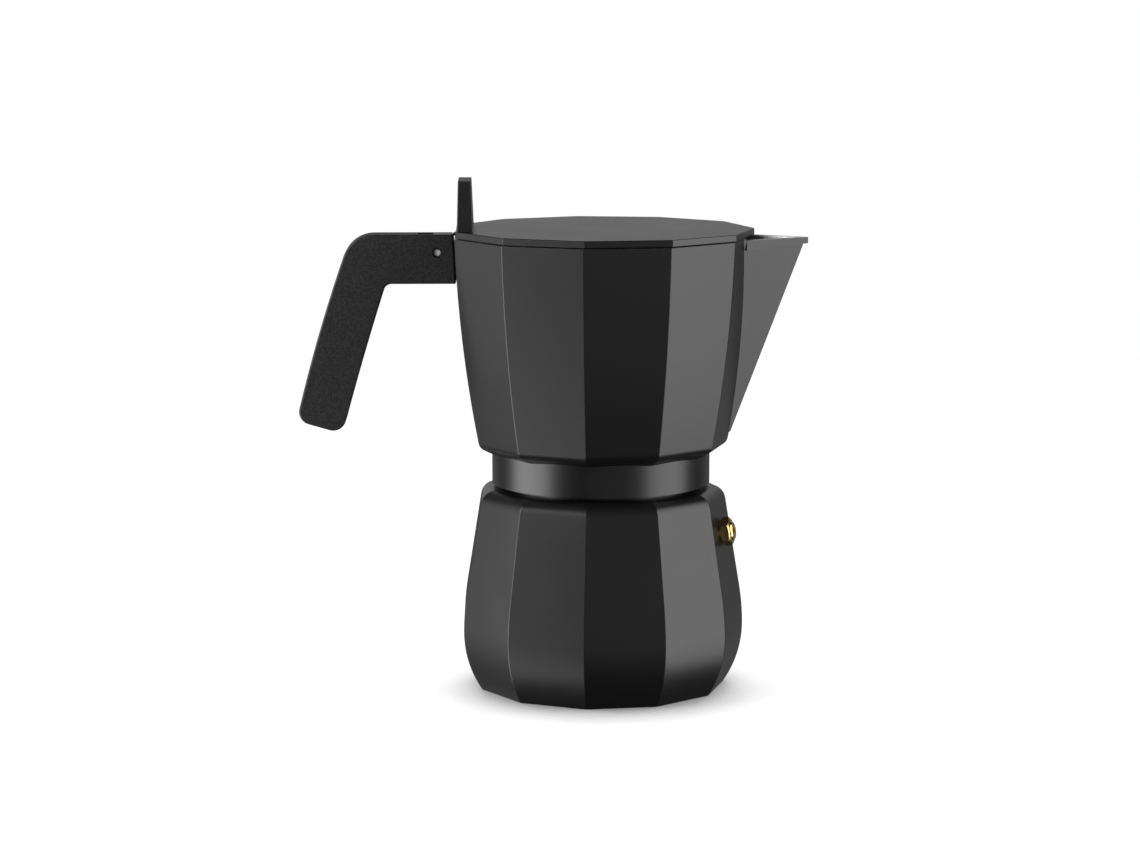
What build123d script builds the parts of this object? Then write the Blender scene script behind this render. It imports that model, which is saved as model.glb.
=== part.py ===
from build123d import *
import os
from math import atan, cos, pi, radians, sin, sqrt

# A stovetop coffee pot with eleven flat sides. The origin is the centre of the base, on the
# pot's axis. +X points to the spout, -X to the handle, +Z up. All lengths are millimetres.

# --- the eleven-sided shape ------------------------------------------------------------------
SIDES = 11
TURN = 360 / SIDES                # angle from one face to the next; an edge points along +X
FLAT = cos(pi / SIDES)            # middle of a face over its edge, as distances from the axis
REACH = 130                       # larger than any radius of the pot
EDGE_ROUND = 0.5                  # the coat of finish and the mould round every edge a little

# --- boiler ----------------------------------------------------------------------------------
BASE_EDGE = 47.8                  # axis to an edge of the base
BELLY_EDGE, BELLY_Z = 55.0, 23.0  # widest place
BELLY_ARC = 93.0                  # upper curve of the belly
CONE_Z = 37.5                     # the curve runs into straight sides here
SHOULDER_Z = 77.4
SHOULDER_ROUND = 6.0
BOILER_WALL = 3.3
BOILER_FLOOR = 4.0
SHOULDER_WALL_Z = 73.2            # underside of the wall between the sides and the neck
NECK_BORE = 33.6
NECK_TOP = 88.0

# --- screw thread between boiler and jug --------------------------------------------------------
LEAD = 3.0                        # rise for each turn
NECK_ROOT, NECK_CREST = 37.1, 38.4
COLLAR_ROOT, COLLAR_CREST = 38.9, 37.4
RIDGE_FOOT, RIDGE_TIP = 1.5, 0.6  # width of a thread ridge
THREAD_START = 37                 # degrees, clear of the cylinders' own seams
THREAD_Z = 80.2                   # lowest turn on the neck

# --- jug -------------------------------------------------------------------------------------
COLLAR, COLLAR_Z = 41.8, 79.05    # round skirt under the jug
JUG_CORNER_Z, JUG_FOOT_Z = 93.8, 90.9  # the sides end, and the underside slopes in to the collar
RIM_Z = 173.4
FLARE_EDGE, FLARE_Z = 58.35, 190.5  # the sides' curve would be widest here, above the rim
FLARE_ARC = 500.0
JUG_CORNER_ROUND = 4.0
JUG_WALL = 2.6
JUG_FLOOR = 97.0

# --- spout -----------------------------------------------------------------------------------
SPOUT_TIP, SPOUT_Z = 79.5, 172.9
RIDGE_TOP = (78.6, 172.9)         # the sharp ridge under the spout, as X and Z
RIDGE_LOW = (50.2, 97.9)
SPOUT_ROOT = (54.5, 15.3)         # where the spout's side meets the jug's face, as X and Y
SPOUT_BACK = 40.0                 # the spout's solid reaches this far back into the jug
SPOUT_WALL = 2.2
LIP_HEIGHT, LIP_TILT = 2.3, 3.5   # at the tip; the lip grows taller toward the jug
GROOVE_HIGH, GROOVE_DEEP = 0.8, 1.5  # shadow groove under the lip, deepest at the tip

# --- lid -------------------------------------------------------------------------------------
LID_EDGE, LID_Z, LID_THICK = 58.0, 173.8, 2.65
LID_SHIFT = 0.44                  # the lid stands this far toward the spout
LID_RING, LID_RING_WALL, LID_RING_DEEP = 48.5, 1.6, 2.5

# --- handle and hinge ------------------------------------------------------------------------
HANDLE_THICK = 13.0
HANDLE_TOP, HANDLE_ARM = 174.5, 155.8
GRIP_OUTER = ((-94.9, HANDLE_TOP), (-108.1, 134.6), (-116.4, 103.4))  # the grip bows a little
GRIP_INNER = ((-98.9, 98.4), (-90.2, 129.2), (-81.9, HANDLE_ARM))
ELBOW_ROUND, GRIP_END_ROUND, ARMPIT_ROUND = 12.0, 5.0, 3.0
HANDLE_GAP = 0.45                 # between the handle and the jug's rear face
HINGE_X, HINGE_Z = -62.3, 167.7
PIN_R = 1.35
SLOT_WIDE, SLOT_FLOOR, SLOT_END = 6.6, 163.9, -69.9
LUG_WIDE, LUG_R = 6.0, 3.5
TONGUE_WIDE, TONGUE_LOW, TONGUE_HIGH, TONGUE_END = 6.2, 159.0, 162.6, -75.0
HANDLE_SCREW_X, SCREW_R, SCREW_HEAD = -70.0, 1.7, 3.2
KNOB_TOP = 195.1
KNOB_FOOT_SIZE = (-54.75, -48.6, 33.6)            # rear X, front X and width in Y
KNOB_TOP_SIZE = (-54.35, -49.35, 23.8)
KNOB_SCREW_X, KNOB_SCREW_Y, KNOB_SCREW_TOP = -51.8, 8.0, 186.0
KNOB_SCREW_R = 1.4

# --- inside ----------------------------------------------------------------------------------
BASKET_R, BASKET_WALL, BASKET_FLOOR = 33.0, 0.8, 66.0
STEM_R, STEM_BORE, STEM_END = 5.0, 4.0, 9.0
GASKET_IN, GASKET_OUT, GASKET_THICK = 28.0, 36.5, 3.0
SEAL_Z = 89.0                     # funnel rim meets gasket
PLATE_R, PLATE_THICK = 31.0, 0.8
SCREEN_R, SCREEN_Z, SCREEN_THICK = 32.0, 68.0, 0.6
COLUMN_TOP, COLUMN_BORE = 151.0, 3.6

# --- safety valve ----------------------------------------------------------------------------
VALVE_Z = 61.2
HEX_ACROSS = 11.2                 # over the corners
VALVE_SHANK, SHANK_DEEP = 3.9, 7.5
BOSS_R, BOSS_LONG, BOSS_DEEP = 7.5, 5.0, 6.5  # thicker wall round the valve's thread
WASHER_R, WASHER_THICK = 4.7, 0.5
VALVE_BORE, PIN_BORE, INLET_R = 2.5, 0.85, 1.2
FIT = 0.05                        # radial play of a screwed or pushed-in fit

UP = (Align.CENTER, Align.CENTER, Align.MIN)


def ring(inner, outer, low, high):
    """A round tube, or a disc where the inner radius is 0, between two heights."""
    tube = Cylinder(outer, high - low, align=UP)
    if inner:
        tube -= Cylinder(inner, high - low, align=UP)
    return Pos(0, 0, low) * tube


def side_face(*lines):
    """The face that a closed chain of lines bounds in the XZ plane."""
    return Plane.XZ * make_face(Curve() + list(lines))


def turned(*points):
    """A turned solid from an outline of (radius, height) points."""
    return revolve(side_face(Polyline(*points, close=True)), Axis.Z)


def belly(x, z, radius, end):
    """An arc that is widest at (x, z) and runs to the height end."""
    def at(height):
        return (x - radius + sqrt(radius ** 2 - (height - z) ** 2), height)
    return ThreePointArc((x, z), at((z + end) / 2), at(end))


def round_corner(face, near, radius):
    """The face with one corner rounded, the corner nearest to (x, z)."""
    corner = face.vertices().sort_by_distance(Vector(near[0], 0, near[1]))[0]
    return fillet(corner, radius)


def faceted(face):
    """Eleven equal sides: what is left inside the same side outline in every direction."""
    slab = extrude(face, amount=REACH, both=True)
    solid = Rot(0, 0, TURN / 2) * slab
    for side in range(1, SIDES):
        solid = solid & (Rot(0, 0, (side + 0.5) * TURN) * slab)
    return solid


def soften(solid, radius=EDGE_ROUND):
    """Round the edges between neighbouring sides, which all change height."""
    tall = [e for e in solid.edges() if abs((e @ 1).Z - (e @ 0).Z) > 0.8]
    return fillet(tall, radius)


def thread(root, crest, start, turns):
    """A helical ridge from a root radius to a crest radius, sunk a little into its wall."""
    sink = 0.3 if crest > root else -0.3
    foot, tip = RIDGE_FOOT / 2, RIDGE_TIP / 2
    section = Polyline((root - sink, 0, start - foot), (root, 0, start - foot),
                       (crest, 0, start - tip), (crest, 0, start + tip),
                       (root, 0, start + foot), (root - sink, 0, start + foot), close=True)
    path = Pos(0, 0, start) * Helix(pitch=LEAD, height=LEAD * turns, radius=root)
    ridge = sweep(Face(Wire(section.edges())), path=path, is_frenet=True)
    return Rot(0, 0, THREAD_START) * ridge


def holes(radius, spacing, reach, low, high):
    """Round holes on rings, evenly spaced, inside a reach from the axis."""
    cutters = Part() + ring(0, radius, low, high)
    for row in range(1, int(reach / spacing) + 1):
        count = 6 * row
        for place in range(count):
            cutters += Rot(0, 0, 360 * place / count) * Pos(row * spacing, 0) * ring(0, radius, low, high)
    return cutters


# --- outlines of the two cast bodies, measured at the middle of a face ---------------------------

def boiler_outline():
    base, wide = BASE_EDGE * FLAT, BELLY_EDGE * FLAT
    low_arc = ((wide - base) ** 2 + BELLY_Z ** 2) / (2 * (wide - base))
    lower = belly(wide, BELLY_Z, low_arc, 0)
    upper = belly(wide, BELLY_Z, BELLY_ARC, CONE_Z)
    end = upper @ 1
    slope = (CONE_Z - BELLY_Z) / sqrt(BELLY_ARC ** 2 - (CONE_Z - BELLY_Z) ** 2)
    corner = (end.X - slope * (SHOULDER_Z - CONE_Z), SHOULDER_Z)
    rest = Polyline((end.X, end.Y), corner, (-REACH, SHOULDER_Z), (-REACH, 0), (base, 0))
    return round_corner(side_face(lower, upper, rest), corner, SHOULDER_ROUND)


def jug_outline(inset=0, corner_z=JUG_CORNER_Z, foot_z=JUG_FOOT_Z):
    """The jug's side outline; an inset of the wall's thickness gives the inside."""
    wide = FLARE_EDGE * FLAT - inset
    flare = belly(wide, FLARE_Z, FLARE_ARC - inset, corner_z)
    corner = (flare @ 1).X, corner_z
    rest = Polyline(corner, (COLLAR - 1, foot_z), (-REACH, foot_z), (-REACH, FLARE_Z), (wide, FLARE_Z))
    return round_corner(side_face(flare, rest), corner, JUG_CORNER_ROUND)


def face_middle(height):
    """Distance from the axis to the middle of one of the boiler's sides, and its slope."""
    slope = (CONE_Z - BELLY_Z) / sqrt(BELLY_ARC ** 2 - (CONE_Z - BELLY_Z) ** 2)
    end = BELLY_EDGE * FLAT - BELLY_ARC + sqrt(BELLY_ARC ** 2 - (CONE_Z - BELLY_Z) ** 2)
    return end - slope * (height - CONE_Z), slope


def jug_rear(height):
    """X of the jug's rear face at a height."""
    return FLARE_ARC - FLARE_EDGE * FLAT - sqrt(FLARE_ARC ** 2 - (height - FLARE_Z) ** 2)


def valve_plane():
    """Plane on the boiler's side beside the spout, with its normal out along the valve."""
    distance, slope = face_middle(VALVE_Z)
    azimuth, tilt = radians(-TURN / 2), atan(slope)
    out = (cos(azimuth) * cos(tilt), sin(azimuth) * cos(tilt), sin(tilt))
    origin = (distance * cos(azimuth), distance * sin(azimuth), VALVE_Z)
    return Plane(origin=origin, x_dir=(-sin(azimuth), cos(azimuth), 0), z_dir=out)


# --- boiler and what screws into it --------------------------------------------------------------

def make_boiler():
    body = soften(faceted(boiler_outline()))
    body += ring(0, NECK_ROOT, SHOULDER_Z - 2, NECK_TOP)
    # the inside is turned: a round cavity that follows the sides
    wide = BELLY_EDGE * FLAT - BOILER_WALL
    cone_top = SHOULDER_WALL_Z - 4.2
    body -= turned((0, BOILER_FLOOR), (wide - 8.8, BOILER_FLOOR), (wide - 3.6, 9), (wide - 0.9, 16),
                   (wide, BELLY_Z), (wide - 0.3, 31), (wide - 1.1, CONE_Z),
                   (face_middle(cone_top)[0] - BOILER_WALL, cone_top),
                   (NECK_BORE + 4, SHOULDER_WALL_Z), (NECK_BORE, SHOULDER_WALL_Z),
                   (NECK_BORE, NECK_TOP), (0, NECK_TOP))
    body += valve_plane() * Pos(0, 0, -BOSS_DEEP) * Cylinder(BOSS_R, BOSS_LONG, align=UP)
    body -= valve_plane() * Pos(0, 0, -20) * Cylinder(VALVE_SHANK + FIT, 30, align=UP)
    body += thread(NECK_ROOT, NECK_CREST, THREAD_Z, 2.2)
    return body


def make_valve_washer():
    return valve_plane() * ring(VALVE_SHANK + FIT, WASHER_R, 0, WASHER_THICK)


def make_valve_body():
    """Hexagon, threaded shank and a bore that holds the spring and the pin."""
    corner, foot, top = HEX_ACROSS / 2, WASHER_THICK, 4.0
    head = Pos(0, 0, foot) * extrude(RegularPolygon(corner, 6, rotation=30), amount=top - foot)
    bevel = turned((0, foot), (corner - 0.9, foot), (corner, foot + 0.5), (corner, top - 0.7),
                   (corner - 1.2, top), (0, top))
    neck = turned((0, top), (3.6, top), (3.6, top + 0.3), (3.1, top + 0.8), (0, top + 0.8))
    body = (head & bevel) + neck + ring(0, VALVE_SHANK, -SHANK_DEEP, foot)
    body -= ring(0, VALVE_BORE, -SHANK_DEEP, 2.8)
    body -= ring(0, PIN_BORE, 0, 10)
    return valve_plane() * body


def make_valve_seat():
    """Plug screwed into the inner end of the valve, with the inlet that the pin's disc closes."""
    return valve_plane() * ring(INLET_R, VALVE_BORE, -SHANK_DEEP, -5.3)


def make_valve_pin():
    """Stem that shows in the middle of the hexagon, with the disc that covers the inlet."""
    return valve_plane() * (ring(0, 2.3, -5.3, -4.4) + ring(0, 0.75, -5, 5.2))


def make_valve_spring():
    """Wire spring between the disc and the outer end of the bore."""
    wire, coil, low, high = 0.4, 1.7, -4.15, 2.55
    path = Pos(0, 0, low) * Helix(pitch=(high - low) / 6, height=high - low, radius=coil)
    section = Pos(coil, 0, low) * Rot(90, 0, 0) * Circle(wire / 2)
    return valve_plane() * sweep(section, path=path, is_frenet=True)


# --- what stands in the boiler's neck ------------------------------------------------------------

def make_funnel():
    inner = BASKET_R - BASKET_WALL
    ledge = inner - 1.5
    return turned((STEM_BORE, STEM_END), (STEM_R, STEM_END), (STEM_R, BASKET_FLOOR - 4),
                  (BASKET_R, BASKET_FLOOR), (BASKET_R, NECK_TOP), (GASKET_OUT, NECK_TOP),
                  (GASKET_OUT, SEAL_Z), (inner, SEAL_Z), (inner, SCREEN_Z),
                  (ledge, SCREEN_Z), (ledge, BASKET_FLOOR + 1), (STEM_BORE, BASKET_FLOOR - 2.8))


def make_funnel_screen():
    disc = ring(0, SCREEN_R, SCREEN_Z, SCREEN_Z + SCREEN_THICK)
    return disc - holes(0.9, 4.6, 28, SCREEN_Z - 1, SCREEN_Z + 2)


def make_gasket():
    return ring(GASKET_IN, GASKET_OUT, SEAL_Z, SEAL_Z + GASKET_THICK)


def make_filter_plate():
    low = SEAL_Z + GASKET_THICK
    disc = ring(0, PLATE_R, low, low + PLATE_THICK)
    return disc - holes(0.8, 4.6, 26, low - 1, low + 2)


# --- jug -----------------------------------------------------------------------------------------

def spout_section(tip, height):
    """Level section of the spout: a point at the tip, spreading back into the jug."""
    half = (tip - SPOUT_BACK) * SPOUT_ROOT[1] / (RIDGE_TOP[0] - SPOUT_ROOT[0])
    corners = Polyline((tip, 0), (SPOUT_BACK, half), (SPOUT_BACK, -half), close=True)
    return Pos(0, 0, height) * make_face(corners)


def ridge_x(height):
    """X of the spout's ridge at a height."""
    rise = (height - RIDGE_LOW[1]) / (RIDGE_TOP[1] - RIDGE_LOW[1])
    return RIDGE_LOW[0] + rise * (RIDGE_TOP[0] - RIDGE_LOW[0])


def spout_plan(tip):
    """Level outline of the lip, from a tip back to the spout's two roots."""
    x, y = SPOUT_ROOT
    return make_face(Polyline((tip, 0), (x, y), (x - 12, 0), (x, -y), close=True))


def make_spout():
    """Wedge with a sharp ridge, a lip round its top and a groove under the lip."""
    wedge = loft([spout_section(ridge_x(z), z) for z in (RIDGE_LOW[1], SPOUT_Z)], ruled=True)
    keel = [e for e in wedge.edges() if abs((e @ 1).Z - (e @ 0).Z) > 1 and (e @ 0.5).X > SPOUT_BACK + 5]
    wedge = fillet(keel, EDGE_ROUND)
    under = Pos(SPOUT_TIP, 0, SPOUT_Z - LIP_HEIGHT) * Rot(0, -LIP_TILT, 0)  # plane under the lip
    core = Pos(0, 0, 160) * extrude(spout_plan(RIDGE_TOP[0] - GROOVE_DEEP), amount=20)
    along = 2 * (SPOUT_TIP - SPOUT_ROOT[0])
    groove = under * Pos(0, 0, -GROOVE_HIGH) * Box(along, 60, GROOVE_HIGH, align=UP)
    wedge -= groove - core
    plan = spout_plan(SPOUT_TIP)
    plan = fillet(plan.vertices().sort_by(Axis.X)[-1], EDGE_ROUND)
    lip = Pos(0, 0, SPOUT_Z - 5) * extrude(plan, amount=5)
    lip -= under * Pos(0, 0, -10) * Box(REACH, 60, 10, align=UP)
    return wedge + lip


def make_spout_channel():
    """The hollow of the spout, open to the jug and at the top."""
    slant = atan(SPOUT_ROOT[1] / (RIDGE_TOP[0] - SPOUT_ROOT[0]))
    back = SPOUT_WALL / sin(slant)
    return loft([spout_section(ridge_x(z) - back, z) for z in (113, SPOUT_Z + 1)], ruled=True)


def make_column():
    """Pipe that the coffee rises through, cast in one with the jug, with two side outlets."""
    return turned((0, JUG_FLOOR - 3), (30, JUG_FLOOR - 3), (30, JUG_FLOOR), (11, 101), (8.2, 106),
                  (6.2, 147), (5.2, 150), (2.5, COLUMN_TOP), (0, COLUMN_TOP))


def make_jug():
    shell = soften(faceted(jug_outline()))
    shell += ring(0, COLLAR, COLLAR_Z, JUG_FOOT_Z + 3)
    shell += make_spout()
    shell -= Pos(0, 0, RIM_Z) * Box(2 * REACH, 2 * REACH, 20, align=UP)
    shell -= faceted(jug_outline(JUG_WALL, JUG_FLOOR, JUG_FLOOR))
    shell -= make_spout_channel()
    shell += make_column()
    bore_top = COLUMN_TOP - 4
    shell -= turned((0, 80), (COLUMN_BORE, 80), (COLUMN_BORE, bore_top - 2), (0, bore_top))
    shell -= Pos(0, 0, bore_top - 6) * Box(20, 4.6, 6.5)
    # underside: threaded collar, seats of the gasket and the filter plate, domed hollow
    seat, plate_low = GASKET_OUT + 0.3, SEAL_Z + GASKET_THICK
    plate_top, dome = plate_low + PLATE_THICK, JUG_FLOOR + 1.5
    shell -= turned((0, 70), (COLLAR_ROOT, 70), (COLLAR_ROOT, SEAL_Z), (seat, SEAL_Z), (seat, plate_low),
                    (PLATE_R + 0.2, plate_low), (PLATE_R + 0.2, plate_top), (28.5, plate_top),
                    (COLUMN_BORE, dome), (0, dome))
    shell += thread(COLLAR_ROOT, COLLAR_CREST, THREAD_Z + LEAD / 2, 2)
    return shell + make_tongue()


def make_tongue():
    """Flat tongue on the jug's rear face that the handle slides over."""
    inside = jug_rear(TONGUE_LOW) + 1.5
    tongue = Pos((inside + TONGUE_END) / 2, 0, TONGUE_LOW) * Box(
        inside - TONGUE_END, TONGUE_WIDE, TONGUE_HIGH - TONGUE_LOW, align=UP)
    return tongue - Pos(HANDLE_SCREW_X, 0) * ring(0, SCREW_R + FIT, TONGUE_LOW, TONGUE_HIGH)


# --- handle, hinge and lid -------------------------------------------------------------------------

def handle_outline():
    near_top, near_low = (jug_rear(z) - HANDLE_GAP for z in (HANDLE_TOP, HANDLE_ARM))
    top, low = (near_top, HANDLE_TOP), (near_low, HANDLE_ARM)
    face = side_face(Line(top, GRIP_OUTER[0]), ThreePointArc(*GRIP_OUTER),
                     Line(GRIP_OUTER[-1], GRIP_INNER[0]), ThreePointArc(*GRIP_INNER),
                     Polyline(GRIP_INNER[-1], low, top))
    corners = ((top, 1.2), (GRIP_OUTER[0], ELBOW_ROUND), (GRIP_OUTER[-1], GRIP_END_ROUND),
               (GRIP_INNER[0], GRIP_END_ROUND), (GRIP_INNER[-1], ARMPIT_ROUND), (low, 0.6))
    for corner, radius in corners:
        face = round_corner(face, corner, radius)
    return face


def cavity(end, front, wide, low, high):
    """A box from a rear X to a front X that is hollowed out of the handle."""
    return Pos((end + front) / 2, 0, low) * Box(front - end, wide, high - low, align=UP)


def make_handle():
    """Arm and grip, with the hinge's slot, the tongue's pocket and the holes of pin and screw."""
    body = extrude(handle_outline(), amount=HANDLE_THICK / 2, both=True)
    body = fillet(body.faces().filter_by(Axis.Y).edges(), 0.8)
    body -= cavity(SLOT_END, -50, SLOT_WIDE, SLOT_FLOOR, SLOT_FLOOR + 20)
    body -= cavity(TONGUE_END - 0.3, -50, TONGUE_WIDE + 2 * FIT, TONGUE_LOW - FIT, TONGUE_HIGH + FIT)
    across = Pos(HINGE_X, 0, HINGE_Z) * Rot(90, 0, 0)
    body -= across * Cylinder(PIN_R + 0.01, 30)
    for side in (1, -1):
        body -= across * Pos(0, 0, side * HANDLE_THICK / 2) * Cylinder(2.0, 1.4)
    head, shank, arm = SCREW_HEAD + 0.1, SCREW_R + FIT, HANDLE_ARM
    body -= Pos(HANDLE_SCREW_X, 0) * turned((0, arm - 1), (head, arm - 1), (head, arm + 0.2),
                                            (shank, arm + 1.9), (shank, TONGUE_LOW), (0, TONGUE_LOW))
    return body


def make_handle_screw():
    low = HANDLE_ARM + 0.2
    screw = turned((0, low), (SCREW_HEAD, low), (SCREW_R, low + 1.65), (SCREW_R, TONGUE_HIGH),
                   (0, TONGUE_HIGH))
    for angle in (0, 90):
        screw -= Rot(0, 0, angle) * Pos(0, 0, HANDLE_ARM) * Box(3.2, 0.7, 1.4, align=UP)
    return Pos(HANDLE_SCREW_X, 0) * screw


def make_hinge_pin():
    pin = Cylinder(PIN_R, HANDLE_THICK - 1.6)
    pin = chamfer(pin.edges().filter_by(GeomType.CIRCLE), 0.2)
    return Pos(HINGE_X, 0, HINGE_Z) * Rot(90, 0, 0) * pin


def make_lid():
    face = side_face(Polyline((LID_EDGE * FLAT, LID_Z), (LID_EDGE * FLAT, LID_Z + LID_THICK),
                              (-REACH, LID_Z + LID_THICK), (-REACH, LID_Z), close=True))
    plate = fillet(faceted(face).edges(), 0.35)
    plate += ring(LID_RING - LID_RING_WALL, LID_RING, LID_Z - LID_RING_DEEP, LID_Z + 1)
    plate = Pos(LID_SHIFT, 0) * plate
    rear = LID_SHIFT - LID_EDGE * FLAT
    near = jug_rear(LID_Z) - 0.6
    lug_top = LID_Z + LID_THICK / 2
    lug = side_face(Polyline((rear + 2, LID_Z + 0.1), (rear + 2, lug_top),
                             (rear - 0.2, lug_top), (rear - 1.4, HANDLE_TOP),
                             (HINGE_X - 1.7, HANDLE_TOP), (HINGE_X - LUG_R, HINGE_Z),
                             (near, HINGE_Z), (near, LID_Z + 0.1), close=True))
    lug = extrude(lug, amount=LUG_WIDE / 2, both=True)
    boss = Pos(HINGE_X, 0, HINGE_Z) * Rot(90, 0, 0) * Cylinder(LUG_R, LUG_WIDE)
    plate += lug + boss
    plate -= Pos(HINGE_X, 0, HINGE_Z) * Rot(90, 0, 0) * Cylinder(PIN_R + 0.07, 20)
    for side in (1, -1):
        plate -= Pos(KNOB_SCREW_X, side * KNOB_SCREW_Y) * turned(
            (0, LID_Z), (2.55, LID_Z), (1.45, LID_Z + 1.3), (1.45, LID_Z + 3), (0, LID_Z + 3))
    return plate


def make_knob():
    """Upright tab at the rear of the lid; it grows wider and thicker toward its foot."""
    foot_z = LID_Z + LID_THICK
    levels = []
    for z, (rear, front, wide) in ((foot_z, KNOB_FOOT_SIZE), (KNOB_TOP, KNOB_TOP_SIZE)):
        levels.append(Pos((rear + front) / 2, 0, z) * Rectangle(front - rear, wide))
    tab = loft(levels, ruled=True)
    tab = fillet([e for e in tab.edges() if (e @ 0.5).Z > foot_z + 0.5], 0.45)
    hole = ring(0, KNOB_SCREW_R + FIT, foot_z - 1, KNOB_SCREW_TOP + 0.5)
    for side in (1, -1):
        tab -= Pos(KNOB_SCREW_X, side * KNOB_SCREW_Y) * hole
    return tab


def make_knob_screws():
    screws = []
    for side in (1, -1):
        screw = turned((0, LID_Z), (2.5, LID_Z), (KNOB_SCREW_R, LID_Z + 1.3),
                       (KNOB_SCREW_R, KNOB_SCREW_TOP), (0, KNOB_SCREW_TOP))
        for angle in (0, 90):
            screw -= Rot(0, 0, angle) * Pos(0, 0, LID_Z - 0.5) * Box(2.6, 0.6, 1.4, align=UP)
        screws.append(Pos(KNOB_SCREW_X, side * KNOB_SCREW_Y) * screw)
    return Compound(children=[s.solid() for s in screws])


MAKERS = {
    "boiler": make_boiler,
    "valve_washer": make_valve_washer,
    "valve_body": make_valve_body,
    "valve_seat": make_valve_seat,
    "valve_pin": make_valve_pin,
    "valve_spring": make_valve_spring,
    "funnel": make_funnel,
    "funnel_screen": make_funnel_screen,
    "gasket": make_gasket,
    "filter_plate": make_filter_plate,
    "jug": make_jug,
    "handle": make_handle,
    "handle_screw": make_handle_screw,
    "hinge_pin": make_hinge_pin,
    "lid": make_lid,
    "knob": make_knob,
    "knob_screws": make_knob_screws,
}

os.makedirs("parts", exist_ok=True)
for name, maker in MAKERS.items():
    export_step(maker(), f"parts/{name}.step")
    print("wrote", name)
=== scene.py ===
# %% [markdown]
# # A stovetop coffee pot, from frame to finish
# The pot arrives as a fixed frame: a set of finished solids at their real places and sizes, in
# metres. Everything below only adds to that frame: finishes, small made pieces, light and a camera.
# The first three lines fetch it. A small helper reads the box of any one part.

# %% Load the frame
import math

import bpy
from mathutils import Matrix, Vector


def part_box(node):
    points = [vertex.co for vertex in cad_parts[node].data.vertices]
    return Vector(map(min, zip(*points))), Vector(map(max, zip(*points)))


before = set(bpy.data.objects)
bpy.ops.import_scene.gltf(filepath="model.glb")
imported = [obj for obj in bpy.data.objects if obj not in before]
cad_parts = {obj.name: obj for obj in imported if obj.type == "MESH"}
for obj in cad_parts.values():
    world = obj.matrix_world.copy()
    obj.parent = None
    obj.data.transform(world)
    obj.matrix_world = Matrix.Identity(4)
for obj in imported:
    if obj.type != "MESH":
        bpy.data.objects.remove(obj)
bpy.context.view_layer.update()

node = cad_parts

# %% [markdown]
# ## Writing shader maths as sums
# A finish is a network of nodes, and sums are its commonest part. Placing each Math node by hand
# hides the idea, so a socket is wrapped in a small class whose operators add the nodes. After
# that, 1 - mask or radius * 2 reads like plain arithmetic. Colours never go through these
# operators, because a Math node would turn them grey: they go through a Mix node.

# %% A socket that can be added and multiplied
class Wire:
    """One output socket of a finish. Its operators add Math nodes to that finish."""

    def __init__(self, finish, socket):
        self.finish, self.socket = finish, socket

    def sum(self, operation, *values):
        return self.finish.add("Math", {"operation": operation}, *values)

    def __add__(self, other):
        return self.sum("ADD", self, other)

    def __sub__(self, other):
        return self.sum("SUBTRACT", self, other)

    def __rsub__(self, other):
        return self.sum("SUBTRACT", other, self)

    def __mul__(self, other):
        return self.sum("MULTIPLY", self, other)

    def __truediv__(self, other):
        return self.sum("DIVIDE", self, other)

    def __mod__(self, other):
        return self.sum("FLOORED_MODULO", self, other)

    def __pow__(self, other):
        return self.sum("POWER", self, other)

    def __lt__(self, other):
        return self.sum("LESS_THAN", self, other)

    def __gt__(self, other):
        return self.sum("GREATER_THAN", self, other)

    __radd__, __rmul__ = __add__, __mul__


# %% [markdown]
# ## One way to add any node
# A finish owns a material and one method that adds any node: its settings first, because a
# setting can change which sockets exist, then the values or wires of its sockets. Numbers that
# are the same all over go straight on the shader, where they stay editable.

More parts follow.
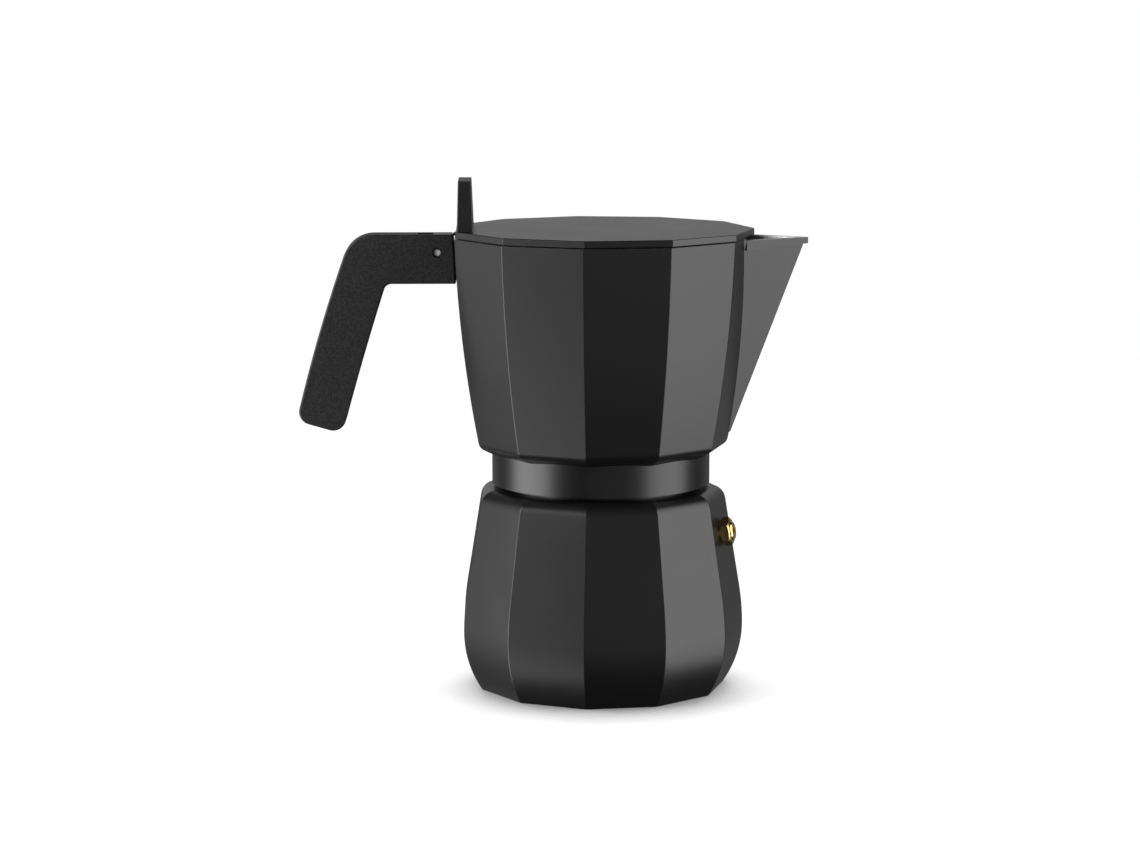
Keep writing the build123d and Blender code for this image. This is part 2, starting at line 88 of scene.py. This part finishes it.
# %% A finish and its one method for nodes
class Finish:
    """A material whose nodes are added by name, with values or wires for their sockets."""

    def __init__(self, name, **constants):
        self.material = bpy.data.materials.new(name)
        self.material.use_nodes = True
        self.tree = self.material.node_tree
        self.shader = self.tree.nodes["Principled BSDF"]
        self.set(self.shader, constants)

    def set(self, target, values):
        shown = [s for s in target.inputs if s.enabled]
        for key, value in values.items():
            name = str(key).replace("_", " ")
            socket = shown[key] if isinstance(key, int) else next(s for s in shown if s.name == name)
            if isinstance(value, Wire):
                self.tree.links.new(value.socket, socket)
            elif hasattr(value, "__len__") and len(value) == 3 and socket.type == "RGBA":
                socket.default_value = (*value, 1)
            else:
                socket.default_value = value

    def add(self, kind, settings=None, *values, out=0, **named):
        made = self.tree.nodes.new("ShaderNode" + kind)
        for key, value in (settings or {}).items():
            if key == "stops":
                for stop, (place, shade) in zip(self.stops(made, len(value)), value):
                    stop.position, stop.color = place, (shade, shade, shade, 1)
            else:
                setattr(made, key, value)
        self.set(made, {**dict(enumerate(values)), **named})
        shown = [s for s in made.outputs if s.enabled]
        return Wire(self, made.outputs[out] if isinstance(out, str) else shown[out])

    def stops(self, ramp, count):
        while len(ramp.color_ramp.elements) < count:
            ramp.color_ramp.elements.new(0.5)
        return ramp.color_ramp.elements

    def place(self):
        """The point on the piece, in metres, in the piece's own space."""
        return self.add("TexCoord", out="Object")

    def noise(self, size, detail=2.0, rough=0.5, where=None):
        """Noise from 0 to 1 whose grains are about `size` metres across."""
        where = where or self.place()
        return self.add("TexNoise", {}, Vector=where, Scale=1 / size, Detail=detail,
                        Roughness=rough, out="Fac")

    def ramp(self, value, *stops):
        return self.add("ValToRGB", {"stops": stops}, value)

    def mix(self, mask, low, high):
        """Colour `low` where the mask is 0 and `high` where it is 1."""
        return self.add("Mix", {"data_type": "RGBA"}, mask, low, high)

    def either(self, *masks):
        """A mask that is 1 wherever any of the masks is."""
        total = masks[0]
        for mask in masks[1:]:
            total = self.add("Math", {"operation": "MAXIMUM"}, total, mask)
        return total

    def xyz(self, where=None):
        where = where or self.place()
        split = self.tree.nodes.new("ShaderNodeSeparateXYZ")
        self.tree.links.new(where.socket, split.inputs[0])
        return [Wire(self, s) for s in split.outputs]

    def bump(self, height, depth):
        """Relief `depth` metres deep where the height goes from 0 to 1."""
        self.use(Normal=self.add("Bump", {}, Height=height, Distance=depth, Strength=1.0))

    def use(self, **values):
        self.set(self.shader, values)

    def on(self, *names):
        for name in names:
            slots = node[name].data.materials
            slots.clear()
            slots.append(self.material)
        print(self.material.name, "on", ", ".join(names))


# %% [markdown]
# ## Satin coating on cast aluminium
# The castings carry a thin dark coat. Up close it is not one flat black: sprayed coats dry with
# an orange-peel skin a few tenths of a millimetre wide, and the gloss drifts a little over each
# side. Noise at two sizes gives both. The relief is tiny, because it only has to break up the
# reflection of the softboxes.

# %% The coating
COAT_DARK = (0.0030, 0.0030, 0.0032)
COAT_LIGHT = (0.0062, 0.0062, 0.0065)
COAT_ROUGH = 0.29
PEEL = 0.00042
DRIFT = 0.019


def coating(name):
    finish = Finish(name, IOR=1.5)
    peel = finish.noise(PEEL, detail=3.0)
    drift = finish.noise(DRIFT, detail=2.0)
    shade = finish.mix(peel * 0.55 + drift * 0.45, COAT_DARK, COAT_LIGHT)
    finish.use(Base_Color=shade, Roughness=COAT_ROUGH + 0.05 * drift + 0.04 * peel)
    finish.bump(peel, 0.000012)
    return finish


coating("coated_aluminium").on("boiler", "lid")

# %% [markdown]
# ## One casting, two finishes
# The jug is coated outside and bare inside, on its rim and in the spout. Splitting the casting
# in two would leave a seam, so the finish itself decides, from where a point lies. Folding the
# angle round the axis turns eleven sides into one, and then a single distance tells the inside
# of the wall from the outside.

# %% Where the jug is bare
SIDES = 11
TURN = 2 * math.pi / SIDES
FLAT = math.cos(math.pi / SIDES)
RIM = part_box("jug")[1].z
WIDEST, MID_WALL, SIDE_ARC = 0.1905, 0.0547, 0.50  # the sides' curve, through the wall's middle
RIDGE_LOW, RIDGE_FOOT, RIDGE_LEAN = 0.0502, 0.0979, 0.3787  # the spout's ridge
HALF_SPOUT_WALL, SPOUT_SPREAD = 0.0021, 0.635
SPOUT_START, CHANNEL_FOOT = 0.046, 0.108  # where the spout leaves the wall, and its hollow's lowest point
FLOOR_TOP = 0.0965                # everything lower is the outside or the underside
BARE_METAL = (0.74, 0.74, 0.73)


def side_distance(finish):
    """Distance from the pot's axis to the nearest side's plane, and the height."""
    x, y, z = finish.xyz()
    radius = (x * x + y * y) ** 0.5
    angle = finish.add("Math", {"operation": "ARCTAN2"}, y, x)
    folded = angle % TURN - TURN / 2
    return radius * finish.add("Math", {"operation": "COSINE"}, folded), z


# %% The jug's finish
def jug_finish():
    finish = coating("coated_and_bare_jug")
    side, z = side_distance(finish)
    x, y, _ = finish.xyz()
    below = z - WIDEST
    within = side < MID_WALL - below * below / (2 * SIDE_ARC)
    ridge = RIDGE_LOW + (z - RIDGE_FOOT) * RIDGE_LEAN - HALF_SPOUT_WALL
    channel = finish.add("Math", {"operation": "ABSOLUTE"}, y) < (ridge - x) * SPOUT_SPREAD
    channel = channel * (x > SPOUT_START) * (z > CHANNEL_FOOT)
    level = finish.add("NewGeometry", out="Normal")
    upward = finish.xyz(level)[2] > 0.8
    rim = upward * (z > RIM - 0.0008)
    bare = finish.either(within * (z > FLOOR_TOP), channel, rim)
    brushed = finish.noise(0.0006, detail=2.0)
    coat = Wire(finish, finish.shader.inputs["Base Color"].links[0].from_socket)
    finish.use(Base_Color=finish.mix(bare, coat, BARE_METAL),
               Metallic=bare, Roughness=COAT_ROUGH + 0.02 + 0.05 * bare + 0.06 * brushed)
    return finish


jug_finish().on("jug")

# %% [markdown]
# ## Moulded plastic
# The handle and the knob are black plastic from an etched mould. The etching leaves a fine even
# grain that scatters light in tiny specks, so its bump is deeper and its gloss lower than the
# coat's. Two cell sizes are added, and a ramp sharpens their sum into specks. The knob is the
# same plastic with a finer, darker skin.

# %% The plastic
def plastic(name, dark, light, rough, relief_depth):
    finish = Finish(name, IOR=1.49)
    grain = finish.noise(0.00045, detail=3.0, rough=0.6)
    cells = finish.add("TexVoronoi", {"feature": "F1"}, Vector=finish.place(), Scale=1 / 0.0008,
                       out="Distance")
    flow = finish.noise(0.03)
    relief = grain * 0.6 + cells * 0.4
    speck = finish.ramp(relief, (0.30, 0.0), (0.62, 1.0))
    finish.use(Base_Color=finish.mix(speck, dark, light), Roughness=rough + 0.08 * flow)
    finish.bump(relief, relief_depth)
    return finish


plastic("grained_plastic", (0.006, 0.006, 0.0065), (0.032, 0.032, 0.034), 0.50, 0.00008).on("handle")
plastic("smooth_plastic", (0.006, 0.006, 0.0065), (0.016, 0.016, 0.017), 0.40, 0.00003).on("knob")

# %% [markdown]
# ## Metals
# Bare aluminium, steel and brass differ in colour, but mostly in how they were worked. Spun and
# turned parts carry fine rings round their own axis; pressed sheet is smoother. Rings come from
# noise that is stretched: read along the radius and the height only, it repeats all the way round.
# The hinge pin's end was cut off and left dull, so it is pale and matt instead of mirror-like.

# %% Bare, spun and turned metals
RING_DEPTH = 0.000006


def worked_metal(name, colour, dark, rough, ring_size, metallic=1.0):
    finish = Finish(name, Metallic=metallic)
    x, y, z = finish.xyz()
    radius = (x * x + y * y) ** 0.5
    rings = finish.noise(ring_size, detail=3.0,
                         where=finish.add("CombineXYZ", {}, radius, z, 0.0))
    smudge = finish.noise(0.006, detail=3.0)
    finish.use(Base_Color=finish.mix(smudge * 0.6 + rings * 0.4, dark, colour),
               Roughness=rough + 0.10 * rings + 0.08 * smudge)
    finish.bump(rings, RING_DEPTH)
    return finish


worked_metal("spun_aluminium", (0.86, 0.86, 0.85), (0.66, 0.66, 0.65), 0.22, 0.00025).on("funnel")
worked_metal("pressed_aluminium", (0.84, 0.84, 0.83), (0.70, 0.70, 0.69), 0.28,
             0.0005).on("funnel_screen", "filter_plate")
worked_metal("steel", (0.78, 0.77, 0.75), (0.56, 0.55, 0.54), 0.26,
             0.0002).on("handle_screw", "knob_screws", "valve_spring")
worked_metal("sheared_pin", (0.98, 0.97, 0.95), (0.84, 0.83, 0.81), 0.62, 0.0004,
             metallic=0.0).on("hinge_pin")
worked_metal("brass", (0.86, 0.64, 0.30), (0.55, 0.36, 0.14), 0.14,
             0.0003).on("valve_body", "valve_washer", "valve_seat", "valve_pin")

# %% [markdown]
# ## The seal
# The gasket is pale silicone rubber: matt, faintly yellow, and softly lit from inside.

# %% Silicone
def silicone():
    finish = Finish("silicone", Subsurface_Weight=0.15, IOR=1.43)
    dust = finish.noise(0.0009, detail=4.0)
    finish.use(Base_Color=finish.mix(dust, (0.72, 0.70, 0.63), (0.82, 0.80, 0.74)),
               Roughness=0.45 + 0.15 * dust)
    finish.bump(dust, 0.00003)
    return finish


silicone().on("gasket")

# %% [markdown]
# ## Floor and light
# The pot stands on a plain pale sheet. The sheet glows by itself, so that it stays white to its
# edge, and its glow is dimmed only where something stands close over it: that dimming is a painted
# contact shadow, the Ambient Occlusion node's work, with its direction leaned to the back, because
# the light there is the weakest. Seen only by the camera, the sheet adds nothing to the reflections on
# the pot.

# %% The floor
FLOOR_REACH = 1.1
SHADOW_REACH = 0.04


def make_floor():
    """A round sheet that ends inside the ring of lights, where it is still fully bright."""
    mesh = bpy.data.meshes.new("floor")
    steps = 96
    edge = [(FLOOR_REACH * math.cos(2 * math.pi * step / steps),
             FLOOR_REACH * math.sin(2 * math.pi * step / steps), 0) for step in range(steps)]
    mesh.from_pydata(edge, [], [list(range(steps))])
    floor = bpy.data.objects.new("floor", mesh)
    bpy.context.scene.collection.objects.link(floor)
    finish = Finish("pale_floor", Roughness=0.7, Emission_Strength=1.0)
    paper = finish.noise(0.02)
    back = finish.add("CombineXYZ", {}, 0.0, 0.50, 0.866)
    near = finish.add("AmbientOcclusion", {"samples": 8}, Distance=SHADOW_REACH, Normal=back, out="AO")
    # Painted contact shadow: the floor's glow is dimmed where the occlusion says the pot stands close.
    glow_with_painted_shadow = finish.ramp(near, (0.25, 0.10), (0.75, 0.86))
    finish.use(Base_Color=finish.mix(paper, (0.38, 0.38, 0.38), (0.41, 0.41, 0.41)), Emission_Color=glow_with_painted_shadow)
    mesh.materials.append(finish.material)
    floor.visible_glossy = False
    floor.visible_shadow = False
    floor.visible_diffuse = False
    return floor


floor = make_floor()

# %% [markdown]
# ## Softboxes
# A flat dark side shows almost nothing but what it reflects, so each light is really a picture
# for the sides to mirror. Two tall boxes stand left and right, and reach below the pot's base so
# that a side mirrors them from top to bottom. A dim square in front keeps the darkest sides from
# going black, and the rear lights draw the lid's top and the outermost sides.

# %% The softboxes
HUB = Vector((0, 0, 0.10))


def softbox(name, azimuth, distance, width, height, power, lift=0.0):
    """A tall light at an angle round the pot; azimuth 0 is toward the viewer, 90 to the right."""
    turn = math.radians(azimuth)
    light = bpy.data.lights.new(name, "AREA")
    light.shape, light.size, light.size_y, light.energy = "RECTANGLE", width, height, power
    lamp = bpy.data.objects.new(name, light)
    lamp.location = HUB + Vector((math.sin(turn), -math.cos(turn), 0)) * distance + Vector((0, 0, lift))
    lamp.rotation_mode = "QUATERNION"
    lamp.rotation_quaternion = (HUB - lamp.location).to_track_quat("-Z", "Y")
    lamp.visible_camera = False
    bpy.context.scene.collection.objects.link(lamp)
    print(name, "at", [round(v, 2) for v in lamp.location])


softbox("left_softbox", -80, 1.2, 1.04, 2.2, 36, lift=0.0)
softbox("right_softbox", 71, 1.2, 1.10, 1.9, 23, lift=0.15)
softbox("front_fill", 10, 1.6, 1.6, 1.4, 1.8)
softbox("rear_glow", 180, 2.2, 2.2, 1.4, 4.5, lift=0.5)
softbox("rear_right_fill", 147, 2.0, 1.1, 3.0, 1.85, lift=-0.3)
softbox("rear_left_fill", -150, 2.0, 0.9, 3.0, 1.85, lift=-0.3)

# %% [markdown]
# ## What surrounds the pot
# The world has two strengths. The camera sees it white, as a studio backdrop, but the pot feels
# only a faint grey, so the softboxes keep their contrast. Light Path tells the two rays apart.

# %% The surroundings
FELT_GREY = 0.03


def make_world():
    world = bpy.data.worlds.new("studio")
    bpy.context.scene.world = world
    world.use_nodes = True
    tree = world.node_tree
    tree.nodes.clear()
    path = tree.nodes.new("ShaderNodeLightPath")
    seen, felt, blend, out = (tree.nodes.new("ShaderNode" + kind) for kind in
                              ("Background", "Background", "MixShader", "OutputWorld"))
    seen.inputs["Color"].default_value = (1, 1, 1, 1)
    felt.inputs["Color"].default_value = (FELT_GREY, FELT_GREY, FELT_GREY, 1)
    tree.links.new(path.outputs["Is Camera Ray"], blend.inputs[0])
    tree.links.new(felt.outputs[0], blend.inputs[1])
    tree.links.new(seen.outputs[0], blend.inputs[2])
    tree.links.new(blend.outputs[0], out.inputs[0])


make_world()

# %% [markdown]
# ## Camera
# A long lens from a little over a metre away keeps the sides nearly parallel, and a low height
# shows a sliver of the lid's top.

# %% The camera
EYE = Vector((-0.03774, -1.19209, 0.27698))
PITCH, YAW = 0.1476, 0.0217
LENS = 99.05


def make_camera():
    data = bpy.data.cameras.new("camera")
    data.lens, data.sensor_width, data.sensor_fit = LENS, 36.0, "HORIZONTAL"
    data.clip_start, data.clip_end = 0.05, 50.0
    camera = bpy.data.objects.new("camera", data)
    camera.location = EYE
    camera.rotation_euler = (math.pi / 2 - PITCH, 0, -YAW)
    bpy.context.scene.collection.objects.link(camera)
    bpy.context.scene.camera = camera


make_camera()
bpy.context.scene.view_settings.view_transform = "Standard"
